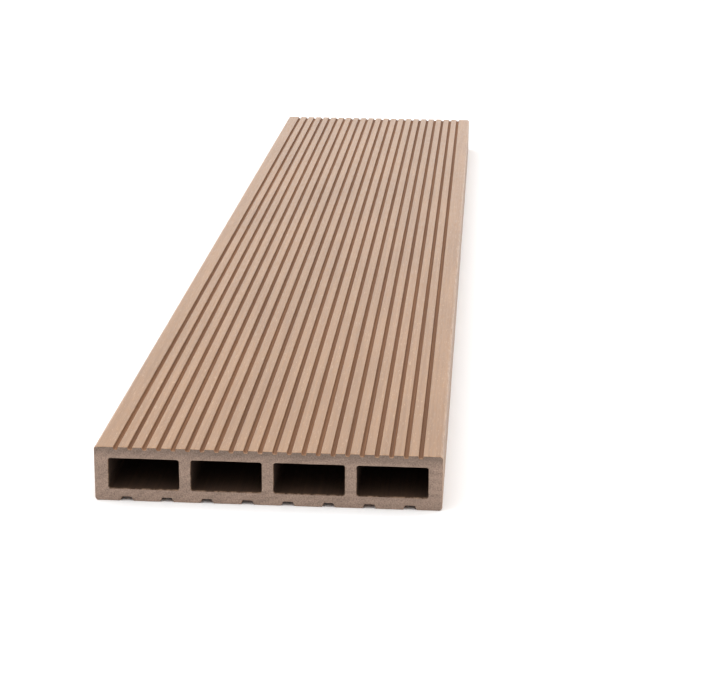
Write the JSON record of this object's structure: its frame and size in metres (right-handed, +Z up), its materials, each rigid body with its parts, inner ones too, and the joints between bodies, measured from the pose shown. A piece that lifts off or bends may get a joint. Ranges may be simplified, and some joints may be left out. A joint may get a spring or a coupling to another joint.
{
  "type": "composite fence board",
  "caption": "Straight hollow wood-plastic board with fine grooves along one face, wide grooves along the other, rectangular chambers inside, rounded long edges and square sawn ends.",
  "frame": {"origin": "middle of the underside, on the level the board lies on", "axes": "+X across the width, +Y along the length, +Z up out of the finely grooved face"},
  "size_m": [0.146, 0.8, 0.024],
  "materials": {
    "composite": "matt tan-brown wood-plastic composite, lightly brushed along its length"
  },
  "bodies": {
    "root": {"board": "composite"}
  },
  "joints": []
}
